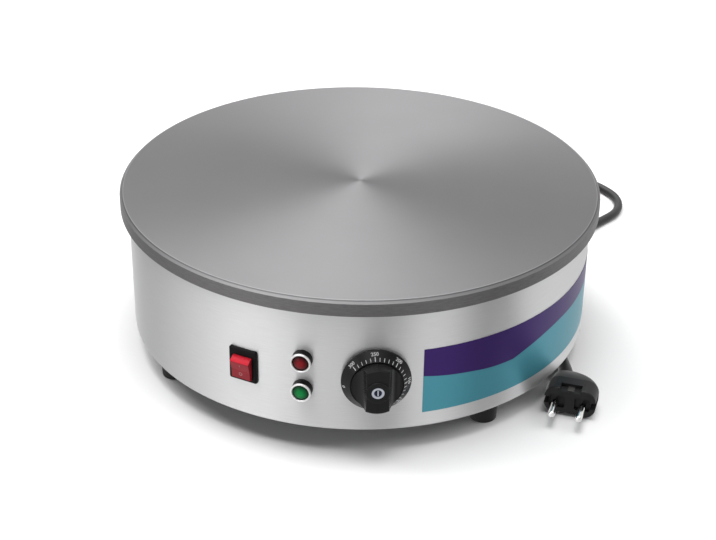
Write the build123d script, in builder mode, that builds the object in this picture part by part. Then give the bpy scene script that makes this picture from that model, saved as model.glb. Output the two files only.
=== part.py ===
from build123d import *
import os
from math import cos, radians, sin, tan

# Electric crepe maker: a round cast griddle plate on a drum of sheet steel, with the
# switch, two pilot lamps and the thermostat knob on the front of the drum.
# Millimetres, +Z up. The origin is on the table under the drum's axis; the front faces -Y.

os.makedirs("parts", exist_ok=True)

# ---- Driving dimensions ----

# Drum and base
drum_radius = 169.0
drum_height = 92.3
sheet = 1.0                      # wall of the drum and the base
foot_height = 16.6
foot_radius = 10.5
foot_x = 113.1                   # feet stand at the corners of a rectangle
foot_y = 101.9

base_bottom = foot_height
drum_bottom = base_bottom + sheet
drum_top = drum_bottom + drum_height
drum_inside = drum_radius - sheet

# Griddle plate
plate_radius = 175.0
plate_rim = 11.8                 # height of the plate's outer edge
plate_web = 9.5                  # thickness of the plate inside the rim
plate_bevel = 2.0                # bevel round the cooking surface
plate_edge = 0.9                 # broken corner under the rim
plate_bottom = drum_top
plate_top = plate_bottom + plate_rim
web_bottom = plate_top - plate_web
spigot_radius = 159.5            # ring under the plate that centres it in the drum
spigot_wall = 4.0
spigot_depth = 3.0

# Heating element: an outer and an inner ring joined by a hairpin
tube_radius = 4.1
groove_radius = 4.2
outer_ring = 131.0
inner_ring = 74.0
hairpin_angle = 200.0            # where the hairpin turns in, measured from +X
terminal_angle = 240.0           # where both ends turn down
ring_sweep = hairpin_angle + 360.0 - terminal_angle
end_run = 14.0                   # straight run from a ring to its bend
end_bend = 11.0
element_bottom = 76.0

# Clamp, insulation and heat shield, all hung on three tie rods
boss_circle = 102.5
boss_angle = 30.0
boss_radius = 8.0
clamp_top = web_bottom - tube_radius
clamp_thickness = 2.0
clamp_band = 18.0
insulation_radius = 144.0
insulation_thickness = 17.0
insulation_bottom = clamp_top - clamp_thickness - insulation_thickness
shield_sheet = 0.8
shield_radius = 147.0
shield_rim = 15.0
rod_radius = 3.0
rod_bottom = 10.5
rod_top = web_bottom + 6.0
nut_across = 10.0
nut_height = 5.0

# Front panel, by azimuth from the front towards +X and by height
switch_azimuth = -14.4
switch_height = 57.8
lamp_azimuth = 0.0
lamp_heights = {"red": 71.8, "green": 48.6}
knob_azimuth = 16.6
knob_height = 59.7
decal_azimuth = 27.5
decal_sweep = 90.0
decal_bottom = 29.3
decal_top = 78.9
decal_film = 0.25

# Supply cord
gland_azimuth = 180.0
gland_height = 39.4
gland_reach = 17.0               # how far the gland stands out of the drum
boot_length = 31.0
cord_radius = 3.5
floor_level = cord_radius + 0.1  # height of the cord's axis where it lies on the table


def polar(radius, angle, height=0.0):
    """Point at an angle from +X, in degrees."""
    return (radius * cos(radians(angle)), radius * sin(radians(angle)), height)


def panel_plane(azimuth, height, radius=drum_radius):
    """Plane on the drum's wall: X to the right of someone facing it, Y up, Z outwards."""
    a = radians(azimuth)
    return Plane(
        origin=(radius * sin(a), -radius * cos(a), height),
        x_dir=(cos(a), sin(a), 0),
        z_dir=(sin(a), -cos(a), 0),
    )


def side_plane(plane, out=0.0):
    """Plane through a panel plane's axis, seen from the side: X up, Y outwards."""
    return Plane(origin=plane.origin + plane.z_dir * out, x_dir=plane.y_dir, z_dir=plane.x_dir)


def axis_of(plane):
    return Axis(plane.origin, plane.z_dir)


# ---- Griddle plate ----

element_level = web_bottom
outer_start = polar(outer_ring, terminal_angle, element_level)
inner_end = polar(inner_ring, terminal_angle, element_level)
ring_gap = (outer_ring - inner_ring) / 2
run_x, run_y, _ = polar(end_run, terminal_angle - 90)
outer_bend = (outer_start[0] + run_x, outer_start[1] + run_y, element_level)
inner_bend = (inner_end[0] + run_x, inner_end[1] + run_y, element_level)
hairpin_centre = polar(inner_ring + ring_gap, hairpin_angle, element_level)
groove_run = 1.6 * end_run
groove_x, groove_y, _ = polar(groove_run, terminal_angle - 90)

with BuildLine() as groove_line:
    Line((outer_start[0] + groove_x, outer_start[1] + groove_y, element_level), outer_start)
    CenterArc((0, 0, element_level), outer_ring, terminal_angle - 360, ring_sweep)
    CenterArc(hairpin_centre, ring_gap, hairpin_angle, 180)
    CenterArc((0, 0, element_level), inner_ring, hairpin_angle, -ring_sweep)
    Line(inner_end, (inner_end[0] + groove_x, inner_end[1] + groove_y, element_level))

with BuildPart() as griddle_plate:
    with BuildSketch(Plane.XZ):
        with BuildLine():
            Polyline(
                (0, plate_top),
                (plate_radius - plate_bevel, plate_top),
                (plate_radius, plate_top - plate_bevel),
                (plate_radius, plate_bottom + plate_edge),
                (plate_radius - plate_edge, plate_bottom),
                (spigot_radius, plate_bottom),
                (spigot_radius, plate_bottom - spigot_depth),
                (spigot_radius - spigot_wall, plate_bottom - spigot_depth),
                (spigot_radius - spigot_wall, web_bottom),
                (0, web_bottom),
                close=True,
            )
        make_face()
    revolve(axis=Axis.Z)
    # Groove that the heating element is bedded in
    with BuildSketch(Plane(origin=groove_line.line @ 0, z_dir=groove_line.line % 0)):
        Circle(groove_radius)
    sweep(path=groove_line.wire(), mode=Mode.SUBTRACT)
    # Tapped bosses for the tie rods
    with BuildSketch(Plane.XY.offset(clamp_top)):
        with PolarLocations(boss_circle, 3, start_angle=boss_angle):
            Circle(boss_radius)
    extrude(amount=web_bottom - clamp_top)
    with BuildSketch(Plane.XY.offset(clamp_top)):
        with PolarLocations(boss_circle, 3, start_angle=boss_angle):
            Circle(rod_radius + 0.05)
    extrude(amount=rod_top - clamp_top + 1, mode=Mode.SUBTRACT)

griddle_plate.part.label = "griddle_plate"
export_step(griddle_plate.part, "parts/griddle_plate.step")


# ---- Heating element ----

with BuildPart() as heating_element:
    with BuildLine() as element_line:
        FilletPolyline(
            (outer_bend[0], outer_bend[1], element_bottom), outer_bend, outer_start, radius=end_bend
        )
        CenterArc((0, 0, element_level), outer_ring, terminal_angle - 360, ring_sweep)
        CenterArc(hairpin_centre, ring_gap, hairpin_angle, 180)
        CenterArc((0, 0, element_level), inner_ring, hairpin_angle, -ring_sweep)
        FilletPolyline(
            inner_end, inner_bend, (inner_bend[0], inner_bend[1], element_bottom), radius=end_bend
        )
    with BuildSketch(Plane(origin=(outer_bend[0], outer_bend[1], element_bottom))):
        Circle(tube_radius)
    sweep(path=element_line.wire())

heating_element.part.label = "heating_element"
export_step(heating_element.part, "parts/heating_element.step")

# Flat tabs at the two cold ends of the element
tab_width = 6.3
tab_thickness = 0.8
tab_length = 9.0

with BuildPart() as element_tabs:
    with BuildSketch(Plane.XY.offset(element_bottom)):
        with Locations(outer_bend[:2], inner_bend[:2]):
            Rectangle(tab_width, tab_thickness)
    extrude(amount=-tab_length)

element_tabs.part.label = "element_tabs"
export_step(element_tabs.part, "parts/element_tabs.step")


# ---- Clamp that presses the element into its groove ----

tail_slot = (2.4 * end_run, 15.0)   # opening in the clamp where an end turns down
tail_mid_x, tail_mid_y, _ = polar(end_run, terminal_angle - 90)
arm_inner = inner_ring - clamp_band / 2
arm_outer = outer_ring + clamp_band / 2

with BuildPart() as element_clamp:
    with BuildSketch(Plane.XY.offset(clamp_top - clamp_thickness)):
        Circle(arm_outer)
        Circle(outer_ring - clamp_band / 2, mode=Mode.SUBTRACT)
        Circle(inner_ring + clamp_band / 2)
        Circle(arm_inner, mode=Mode.SUBTRACT)
        with PolarLocations((arm_inner + arm_outer) / 2, 3, start_angle=boss_angle):
            Rectangle(arm_outer - arm_inner - 2, clamp_band)
        with PolarLocations(boss_circle, 3, start_angle=boss_angle):
            Circle(rod_radius + 0.3, mode=Mode.SUBTRACT)
        for start in (outer_start, inner_end):
            with Locations(Location((start[0] + tail_mid_x, start[1] + tail_mid_y, 0),
                                    (0, 0, terminal_angle - 90))):
                Rectangle(*tail_slot, mode=Mode.SUBTRACT)
    extrude(amount=clamp_thickness)

element_clamp.part.label = "element_clamp"
export_step(element_clamp.part, "parts/element_clamp.step")


# ---- Insulation and heat shield ----

sensor_angle = 330.0             # middle of the thermostat's bulb
sensor_drop = polar(108.5, 309.0)  # where its capillary goes down through the insulation
nut_clear = 8.0
tail_clear = 6.0
sensor_clear = 4.0

with BuildPart() as insulation_disc:
    with BuildSketch(Plane.XY.offset(insulation_bottom)):
        Circle(insulation_radius)
        with PolarLocations(boss_circle, 3, start_angle=boss_angle):
            Circle(nut_clear, mode=Mode.SUBTRACT)
        with Locations(outer_bend[:2], inner_bend[:2]):
            Circle(tail_clear + end_bend / 2, mode=Mode.SUBTRACT)
        with Locations(sensor_drop[:2]):
            Circle(sensor_clear, mode=Mode.SUBTRACT)
    extrude(amount=insulation_thickness)

insulation_disc.part.label = "insulation_disc"
export_step(insulation_disc.part, "parts/insulation_disc.step")

shield_bottom = insulation_bottom - shield_sheet

with BuildPart() as heat_shield:
    with BuildSketch(Plane.XZ):
        with BuildLine():
            Polyline(
                (0, shield_bottom),
                (shield_radius, shield_bottom),
                (shield_radius, shield_bottom + shield_rim),
                (shield_radius - shield_sheet, shield_bottom + shield_rim),
                (shield_radius - shield_sheet, insulation_bottom),
                (0, insulation_bottom),
                close=True,
            )
        make_face()
    revolve(axis=Axis.Z)
    with BuildSketch(Plane.XY.offset(shield_bottom)):
        with PolarLocations(boss_circle, 3, start_angle=boss_angle):
            Circle(rod_radius + 0.3)
        with Locations(outer_bend[:2], inner_bend[:2]):
            Circle(tail_clear)
        with Locations(sensor_drop[:2]):
            Circle(sensor_clear)
    extrude(amount=shield_sheet, mode=Mode.SUBTRACT)

heat_shield.part.label = "heat_shield"
export_step(heat_shield.part, "parts/heat_shield.step")


# ---- Tie rods and their nuts ----

with BuildPart() as tie_rods:
    with BuildSketch(Plane.XY.offset(rod_bottom)):
        with PolarLocations(boss_circle, 3, start_angle=boss_angle):
            Circle(rod_radius)
    extrude(amount=rod_top - rod_bottom)

tie_rods.part.label = "tie_rods"
export_step(tie_rods.part, "parts/tie_rods.step")

with BuildPart() as tie_rod_nuts:
    for nut_bottom in (
        clamp_top - clamp_thickness - nut_height,
        shield_bottom - nut_height,
        base_bottom - nut_height,
    ):
        with BuildSketch(Plane.XY.offset(nut_bottom)):
            with PolarLocations(boss_circle, 3, start_angle=boss_angle):
                RegularPolygon(nut_across / 2, 6, major_radius=False)
                Circle(rod_radius + 0.05, mode=Mode.SUBTRACT)
        extrude(amount=nut_height)

tie_rod_nuts.part.label = "tie_rod_nuts"
export_step(tie_rod_nuts.part, "parts/tie_rod_nuts.step")


# ---- Drum ----

switch_plane = panel_plane(switch_azimuth, switch_height)
knob_plane = panel_plane(knob_azimuth, knob_height)
gland_plane = panel_plane(gland_azimuth, gland_height)
lamp_planes = {name: panel_plane(lamp_azimuth, z) for name, z in lamp_heights.items()}

top_flange = 8.5
bottom_flange = 10.5
drum_bend = 1.5
switch_cut = (19.2, 23.6)
lamp_hole = 5.2
shaft_hole = 5.0
bracket_screw_spacing = 28.0
gland_hole = 8.2
seam_azimuth = 156.0
seam_groove = 0.4

with BuildPart() as drum_shell:
    with BuildSketch(Plane.XZ) as drum_section:
        with BuildLine():
            Polyline(
                (drum_radius, drum_bottom),
                (drum_radius, drum_top),
                (drum_radius - top_flange, drum_top),
                (drum_radius - top_flange, drum_top - sheet),
                (drum_inside, drum_top - sheet),
                (drum_inside, drum_bottom + sheet),
                (drum_radius - bottom_flange, drum_bottom + sheet),
                (drum_radius - bottom_flange, drum_bottom),
                close=True,
            )
        make_face()
        fillet(drum_section.vertices().group_by(Axis.X)[-1], radius=drum_bend)
    revolve(axis=Axis.Z)
    # Cut-outs for the controls, each cut from outside the wall inwards
    with BuildSketch(switch_plane.offset(sheet)):
        Rectangle(*switch_cut)
    extrude(amount=-4 * sheet, mode=Mode.SUBTRACT)
    for lamp_plane in lamp_planes.values():
        with BuildSketch(lamp_plane.offset(sheet)):
            Circle(lamp_hole)
        extrude(amount=-4 * sheet, mode=Mode.SUBTRACT)
    with BuildSketch(knob_plane.offset(sheet)):
        Circle(shaft_hole)
        with Locations((0, bracket_screw_spacing / 2), (0, -bracket_screw_spacing / 2)):
            Circle(2.15)
    extrude(amount=-4 * sheet, mode=Mode.SUBTRACT)
    with BuildSketch(gland_plane.offset(sheet)):
        Circle(gland_hole)
    extrude(amount=-4 * sheet, mode=Mode.SUBTRACT)
    # Seam where the rolled strip meets itself
    with BuildSketch(panel_plane(seam_azimuth, drum_bottom + drum_height / 2)):
        Rectangle(seam_groove, drum_height - 4 * drum_bend)
    extrude(amount=-seam_groove, mode=Mode.SUBTRACT)

drum_shell.part.label = "drum_shell"
export_step(drum_shell.part, "parts/drum_shell.step")

with BuildPart() as side_decal:
    with BuildSketch(Plane.XZ.rotated((0, 0, decal_azimuth - 90))):
        with Locations((drum_radius + decal_film / 2, (decal_bottom + decal_top) / 2)):
            Rectangle(decal_film, decal_top - decal_bottom)
    revolve(axis=Axis.Z, revolution_arc=decal_sweep)

side_decal.part.label = "side_decal"
export_step(side_decal.part, "parts/side_decal.step")


# ---- Base plate ----

base_radius = 166.5
bead_radius = 133.0
bead_height = 2.0
bead_width = 10.5
block_place = (0.0, 110.0)       # terminal block on the base
block_screw_spacing = 30.0
earth_place = (40.0, 110.0)
vent_slot = (27.0, 4.0)

with BuildPart() as base_plate:
    with BuildSketch(Plane.XZ):
        with BuildLine():
            Polyline(
                (0, base_bottom),
                (bead_radius - bead_width / 2, base_bottom),
                (bead_radius - bead_width / 4, base_bottom + bead_height),
                (bead_radius + bead_width / 4, base_bottom + bead_height),
                (bead_radius + bead_width / 2, base_bottom),
                (base_radius, base_bottom),
                (base_radius, base_bottom + sheet),
                (bead_radius + bead_width / 2, base_bottom + sheet),
                (bead_radius + bead_width / 4, base_bottom + bead_height + sheet),
                (bead_radius - bead_width / 4, base_bottom + bead_height + sheet),
                (bead_radius - bead_width / 2, base_bottom + sheet),
                (0, base_bottom + sheet),
                close=True,
            )
        make_face()
    revolve(axis=Axis.Z)
    with BuildSketch(Plane.XY.offset(base_bottom)):
        with PolarLocations(boss_circle, 3, start_angle=boss_angle):
            Circle(rod_radius + 0.3)
        with GridLocations(2 * foot_x, 2 * foot_y, 2, 2):
            Circle(2.65)
        with Locations(block_place):
            with GridLocations(block_screw_spacing, 0, 2, 1):
                Circle(1.65)
        with Locations(earth_place):
            Circle(2.15)
        # Cooling slots in two rings
        with PolarLocations(42, 8):
            SlotOverall(*vent_slot)
        with PolarLocations(77, 12, start_angle=15):
            SlotOverall(*vent_slot)
    extrude(amount=sheet, mode=Mode.SUBTRACT)

base_plate.part.label = "base_plate"
export_step(base_plate.part, "parts/base_plate.step")


# ---- Feet ----

foot_taper = 1.0
foot_pocket = 5.0                # radius of the pocket for the screw's head
pocket_depth = 8.5
foot_places = {
    "foot_front_right": (foot_x, -foot_y),
    "foot_front_left": (-foot_x, -foot_y),
    "foot_rear_right": (foot_x, foot_y),
    "foot_rear_left": (-foot_x, foot_y),
}

for foot_name, (x, y) in foot_places.items():
    with BuildPart() as foot:
        with BuildSketch(Plane((x, y, 0), x_dir=(1, 0, 0), z_dir=(0, -1, 0))) as foot_section:
            with BuildLine():
                Polyline(
                    (foot_pocket, 0),
                    (foot_radius - foot_taper, 0),
                    (foot_radius, foot_height),
                    (2.6, foot_height),
                    (2.6, pocket_depth),
                    (foot_pocket, pocket_depth),
                    close=True,
                )
            make_face()
            fillet(foot_section.vertices().sort_by(Axis.Y)[:2].sort_by(Axis.X)[-1:], radius=1.0)
        revolve(axis=Axis((x, y, 0), (0, 0, 1)))
    foot.part.label = foot_name
    export_step(foot.part, f"parts/{foot_name}.step")

screw_radius = 2.5
head_radius = 4.4
head_height = 3.2

with BuildPart() as foot_screws:
    with BuildSketch(Plane.XY.offset(pocket_depth - head_height)):
        with GridLocations(2 * foot_x, 2 * foot_y, 2, 2):
            Circle(head_radius)
    extrude(amount=head_height)
    fillet(foot_screws.edges().filter_by(GeomType.CIRCLE).group_by(Axis.Z)[0], radius=1.2)
    with BuildSketch(Plane.XY.offset(pocket_depth)):
        with GridLocations(2 * foot_x, 2 * foot_y, 2, 2):
            Circle(screw_radius)
    extrude(amount=foot_height + sheet + 7 - pocket_depth)

foot_screws.part.label = "foot_screws"
export_step(foot_screws.part, "parts/foot_screws.step")

with BuildPart() as foot_nuts:
    with BuildSketch(Plane.XY.offset(base_bottom + sheet)):
        with GridLocations(2 * foot_x, 2 * foot_y, 2, 2):
            RegularPolygon(4.0, 6, major_radius=False)
            Circle(screw_radius + 0.05, mode=Mode.SUBTRACT)
    extrude(amount=4)

foot_nuts.part.label = "foot_nuts"
export_step(foot_nuts.part, "parts/foot_nuts.step")


# ---- Rocker switch ----

bezel_width = 21.0
bezel_height = 25.0
bezel_front = 2.0
switch_body = (18.8, 23.2)
switch_opening = (14.6, 18.2)
pivot_drop = 1.6                 # the rocker sits low in its bezel
switch_depth = 22.0
cavity_depth = 8.0
rocker_width = 14.0
rocker_reach = 8.8               # radius of the rocker's ends about its pivot
rocker_corner = 40.0             # angle of its corners above the pivot, when level
rocker_skirt = 15.0              # angle its ends reach below the pivot
rocker_valley = 5.0
rocker_rest = 10.0               # tilt at rest: bottom pressed in, which is off
pin_radius = 1.2

rocker_plane = side_plane(panel_plane(switch_azimuth, switch_height - pivot_drop))

with BuildPart() as switch_housing:
    with BuildSketch(switch_plane.offset(-0.5)):
        RectangleRounded(bezel_width, bezel_height, 1.3)
    extrude(amount=bezel_front + 0.5)
    front_edges = switch_housing.faces().sort_by(axis_of(switch_plane))[-1].edges()
    chamfer(front_edges, length=0.7)
    with Locations((0, 0, switch_height)):
        Cylinder(drum_radius, 2 * bezel_height, mode=Mode.SUBTRACT)
    with BuildSketch(switch_plane.offset(-switch_depth)):
        RectangleRounded(*switch_body, 0.8)
    extrude(amount=switch_depth + 0.5)
    with BuildSketch(switch_plane.offset(bezel_front)):
        with Locations((0, -pivot_drop)):
            RectangleRounded(*switch_opening, 1.0)
    extrude(amount=-bezel_front - cavity_depth, mode=Mode.SUBTRACT)
    # Seats for the rocker's pins
    with BuildSketch(rocker_plane):
        Circle(pin_radius + 0.05)
    extrude(amount=switch_body[0] / 2, both=True, mode=Mode.SUBTRACT)
    # Snap wings behind the wall of the drum
    with BuildSketch(Plane(switch_plane.origin, x_dir=switch_plane.x_dir, z_dir=switch_plane.y_dir)):
        with BuildLine():
            Polyline(
                (switch_body[0] / 2 - 0.5, 2.0),
                (switch_body[0] / 2 + 1.4, 2.0),
                (switch_body[0] / 2 - 0.5, 8.0),
                close=True,
            )
        make_face()
        mirror(about=Plane.YZ)
    extrude(amount=5, both=True)

switch_housing.part.label = "switch_housing"
export_step(switch_housing.part, "parts/switch_housing.step")

with BuildPart() as switch_rocker:
    with BuildSketch(rocker_plane) as rocker_section:
        with BuildLine():
            top_end = CenterArc(
                (0, 0), rocker_reach, rocker_rest - rocker_skirt, rocker_corner + rocker_skirt
            )
            bottom_end = CenterArc(
                (0, 0), rocker_reach, 180 + rocker_rest - rocker_corner, rocker_corner + rocker_skirt
            )
            valley = polar(rocker_valley, 90 + rocker_rest)[:2]
            Polyline(top_end @ 1, valley, bottom_end @ 0)
            Line(bottom_end @ 1, top_end @ 0)
        make_face()
        fillet(rocker_section.vertices().group_by(Axis.Y)[-1], radius=1.0)
    extrude(amount=rocker_width / 2, both=True)
    # Hollow underside
    with BuildSketch(rocker_plane):
        with Locations(polar(-0.8, 90 + rocker_rest)[:2]):
            Rectangle(13.4, 5.6, rotation=rocker_rest)
    extrude(amount=rocker_width / 2 - 1.6, both=True, mode=Mode.SUBTRACT)
    with BuildSketch(rocker_plane):
        Circle(pin_radius)
    extrude(amount=switch_body[0] / 2 - 0.3, both=True)

switch_rocker.part.label = "switch_rocker"
export_step(switch_rocker.part, "parts/switch_rocker.step")

with BuildPart() as switch_terminals:
    with BuildSketch(switch_plane.offset(-switch_depth)):
        with GridLocations(10, 12, 2, 2):
            Rectangle(tab_thickness, tab_width)
    extrude(amount=-tab_length)

switch_terminals.part.label = "switch_terminals"
export_step(switch_terminals.part, "parts/switch_terminals.step")


# ---- Pilot lamps ----

collar_radius = 7.0
collar_front = 5.5
neck_radius = 5.0
neck_length = 14.0
ring_radius = 7.1
ring_front = 6.8
lens_radius = 5.7
lens_seat = 3.7
lens_rim = 5.6
lens_crown = 7.8
lamp_tail = 4.0

for colour, lamp_plane in lamp_planes.items():
    with BuildPart() as lamp_body:
        with BuildSketch(lamp_plane.offset(-0.5)):
            Circle(collar_radius)
        extrude(amount=collar_front + 0.5)
        with Locations((0, 0, lamp_heights[colour])):
            Cylinder(drum_radius, 4 * collar_radius, mode=Mode.SUBTRACT)
        with BuildSketch(lamp_plane.offset(-neck_length)):
            Circle(neck_radius)
        extrude(amount=neck_length + 0.5)
        with BuildSketch(lamp_plane.offset(-neck_length - 8)):
            Circle(lamp_tail)
        extrude(amount=8)
        with BuildSketch(lamp_plane.offset(lens_seat)):
            Circle(lens_radius + 0.05)
        extrude(amount=collar_front - lens_seat, mode=Mode.SUBTRACT)
    lamp_body.part.label = f"{colour}_lamp_body"
    export_step(lamp_body.part, f"parts/{colour}_lamp_body.step")

    with BuildPart() as lamp_ring:
        with BuildSketch(lamp_plane.offset(collar_front)):
            Circle(ring_radius)
            Circle(lens_radius + 0.05, mode=Mode.SUBTRACT)
        extrude(amount=ring_front - collar_front)
        ring_edges = lamp_ring.faces().sort_by(axis_of(lamp_plane))[-1].edges()
        fillet(ring_edges.sort_by(SortBy.RADIUS)[-1:], radius=0.7)
        chamfer(lamp_ring.faces().sort_by(axis_of(lamp_plane))[-1].edges().sort_by(SortBy.RADIUS)[:1],
                length=0.4)
    lamp_ring.part.label = f"{colour}_lamp_ring"
    export_step(lamp_ring.part, f"parts/{colour}_lamp_ring.step")

    with BuildPart() as lamp_lens:
        with BuildSketch(side_plane(lamp_plane)):
            with BuildLine():
                TangentArc((0, lens_crown), (lens_radius, lens_rim), tangent=(1, 0))
                Polyline((lens_radius, lens_rim), (lens_radius, lens_seat), (0, lens_seat),
                         (0, lens_crown))
            make_face()
        revolve(axis=axis_of(lamp_plane))
    lamp_lens.part.label = f"{colour}_lamp_lens"
    export_step(lamp_lens.part, f"parts/{colour}_lamp_lens.step")

    with BuildPart() as lamp_nut:
        with BuildSketch(lamp_plane.offset(-sheet - 0.2)):
            RegularPolygon(6.5, 6, major_radius=False)
            Circle(neck_radius + 0.05, mode=Mode.SUBTRACT)
        extrude(amount=-3)
    lamp_nut.part.label = f"{colour}_lamp_nut"
    export_step(lamp_nut.part, f"parts/{colour}_lamp_nut.step")


# ---- Thermostat behind the wall ----

bracket_width = 16.0
bracket_height = 44.0
block_face = 2.4                 # how far behind the wall's outside the block starts
block_width = 36.0
block_height = 38.0
block_back = 28.0
shaft_radius = 3.0
shaft_back = 14.0
shaft_front = 13.5
bush_radius = 4.8
bush_front = 2.0

with BuildPart() as thermostat_body:
    # Narrow mounting strap, curved to the inside of the drum
    with BuildSketch(knob_plane.offset(-block_face)):
        RectangleRounded(bracket_width, bracket_height, 3)
    extrude(amount=block_face)
    with Locations((0, 0, knob_height)):
        Cylinder(drum_inside, 2 * bracket_height, mode=Mode.INTERSECT)
    with BuildSketch(knob_plane.offset(-block_face)):
        RectangleRounded(block_width, block_height, 4)
    extrude(amount=block_face - block_back)
    with BuildSketch(knob_plane.offset(-block_face - 1)):
        Circle(bush_radius)
    extrude(amount=block_face + 1 + bush_front)
    with BuildSketch(knob_plane.offset(bush_front)):
        Circle(shaft_radius + 0.05)
    extrude(amount=-bush_front - shaft_back - 0.5, mode=Mode.SUBTRACT)
    with BuildSketch(knob_plane.offset(sheet)):
        with Locations((0, bracket_screw_spacing / 2), (0, -bracket_screw_spacing / 2)):
            Circle(2.05)
    extrude(amount=-12, mode=Mode.SUBTRACT)

thermostat_body.part.label = "thermostat_body"
export_step(thermostat_body.part, "parts/thermostat_body.step")

with BuildPart() as thermostat_screws:
    with BuildSketch(knob_plane.offset(-9)):
        with Locations((0, bracket_screw_spacing / 2), (0, -bracket_screw_spacing / 2)):
            Circle(2.0)
    extrude(amount=9.1)
    with BuildSketch(knob_plane.offset(0.05)):
        with Locations((0, bracket_screw_spacing / 2), (0, -bracket_screw_spacing / 2)):
            Circle(3.6)
    extrude(amount=1.6)

thermostat_screws.part.label = "thermostat_screws"
export_step(thermostat_screws.part, "parts/thermostat_screws.step")

with BuildPart() as thermostat_tabs:
    with BuildSketch(knob_plane.offset(-block_back)):
        with Locations((-9, 8), (-9, -8), (9, 8), (9, -8)):
            Rectangle(tab_width, tab_thickness)
    extrude(amount=-tab_length)

thermostat_tabs.part.label = "thermostat_tabs"
export_step(thermostat_tabs.part, "parts/thermostat_tabs.step")

# Sensing bulb under the plate, and the capillary from it to the thermostat
bulb_radius = 3.0
bulb_length = 52.0
bulb_level = web_bottom - bulb_radius
capillary_radius = 1.0
capillary_level = 83.5
bulb_axis = polar(1.0, sensor_angle - 90)
bulb_middle = polar(boss_circle, sensor_angle, bulb_level)
bulb_tip = tuple(m - bulb_length / 2 * d for m, d in zip(bulb_middle, bulb_axis))
bulb_root = tuple(m + bulb_length / 2 * d for m, d in zip(bulb_middle, bulb_axis))
block_top = knob_plane.from_local_coords((0, block_height / 2, -0.6 * block_back))

with BuildPart() as thermostat_sensor:
    with BuildSketch(Plane(bulb_tip, z_dir=bulb_axis)):
        Circle(bulb_radius)
    extrude(amount=bulb_length)
    fillet(thermostat_sensor.edges().filter_by(GeomType.CIRCLE), radius=1.5)
    with BuildLine() as capillary_line:
        FilletPolyline(
            bulb_root,
            (sensor_drop[0], sensor_drop[1], bulb_level),
            (sensor_drop[0], sensor_drop[1], capillary_level),
            (block_top.X, block_top.Y, capillary_level),
            (block_top.X, block_top.Y, block_top.Z),
            radius=4.0,
        )
    with BuildSketch(Plane(bulb_root, z_dir=capillary_line.line % 0)):
        Circle(capillary_radius)
    sweep(path=capillary_line.wire())

thermostat_sensor.part.label = "thermostat_sensor"
export_step(thermostat_sensor.part, "parts/thermostat_sensor.step")


# ---- Thermostat knob ----

skirt_radius = 23.5
skirt_back = 2.0
skirt_lip = 1.0
cone_front = 9.0                 # where the skirt's cone meets the groove round the hub
ring_groove = 1.3                # depth of that groove
hub_radius = 17.1
hub_front = 17.9
scoop_radius = 8.5               # the finger scoops, run from top to bottom
scoop_centre = 16.4
disc_radius = 8.1
disc_front = 18.7
insert_radius = 4.2
insert_recess = 1.4
knob_wall = 2.0
knob_ceiling = hub_front - scoop_radius - knob_wall
knob_section_plane = Plane(knob_plane.origin, x_dir=knob_plane.x_dir, z_dir=knob_plane.y_dir)

with BuildPart() as thermostat_knob:
    # Skirt and hub
    with BuildSketch(side_plane(knob_plane)):
        with BuildLine():
            Polyline(
                (0, hub_front),
                (hub_radius - 0.8, hub_front),
                (hub_radius, hub_front - 0.8),
                (hub_radius, cone_front - ring_groove),
                (hub_radius + 0.6, cone_front - ring_groove),
                (hub_radius + 0.8, cone_front),
                (skirt_radius, skirt_back + skirt_lip),
                (skirt_radius, skirt_back),
                (skirt_radius - knob_wall, skirt_back),
                (hub_radius - knob_wall, knob_ceiling),
                (0, knob_ceiling),
                close=True,
            )
        make_face()
    revolve(axis=axis_of(knob_plane))
    # Two finger scoops leave an upright grip between them
    with BuildSketch(knob_section_plane):
        with Locations((scoop_centre, -hub_front), (-scoop_centre, -hub_front)):
            Circle(scoop_radius)
    extrude(amount=hub_radius + 1, both=True, mode=Mode.SUBTRACT)
    grip_face = thermostat_knob.faces().sort_by(axis_of(knob_plane))[-1]
    fillet(grip_face.edges().filter_by(GeomType.LINE), radius=0.8)
    # Disc in the middle of the grip
    with BuildSketch(knob_plane.offset(knob_ceiling + 3)):
        Circle(disc_radius)
    extrude(amount=disc_front - knob_ceiling - 3)
    disc_edges = thermostat_knob.faces().sort_by(axis_of(knob_plane))[-1].edges()
    fillet(disc_edges, radius=0.6)
    # Recess for the insert, and the pointer groove below it
    with BuildSketch(knob_plane.offset(disc_front)):
        Circle(insert_radius)
    extrude(amount=-insert_recess, mode=Mode.SUBTRACT)
    with BuildSketch(knob_plane.offset(hub_front)):
        with Locations((0, -(disc_radius + hub_radius) / 2)):
            Rectangle(0.7, hub_radius - disc_radius - 1.6)
    extrude(amount=-0.4, mode=Mode.SUBTRACT)
    # Hollows behind the grip, above and below the shaft
    with BuildSketch(knob_plane.offset(knob_ceiling - 0.5)):
        with Locations((0, 9.8), (0, -9.8)):
            RectangleRounded(10.0, 8.0, 1.5)
    extrude(amount=hub_front - knob_ceiling - knob_wall, mode=Mode.SUBTRACT)
    # Socket for the shaft, with stiffening ribs
    with BuildSketch(knob_plane.offset(skirt_back + 1.5)):
        Circle(5.5)
        with PolarLocations((hub_radius - knob_wall) / 2, 4, start_angle=45):
            Rectangle(hub_radius - knob_wall, 1.4)
    extrude(amount=knob_ceiling - skirt_back - 1)
    with BuildSketch(knob_plane.offset(skirt_back)):
        Circle(shaft_radius + 0.02)
    extrude(amount=shaft_front - skirt_back + 0.2, mode=Mode.SUBTRACT)

thermostat_knob.part.label = "thermostat_knob"
export_step(thermostat_knob.part, "parts/thermostat_knob.step")

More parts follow.
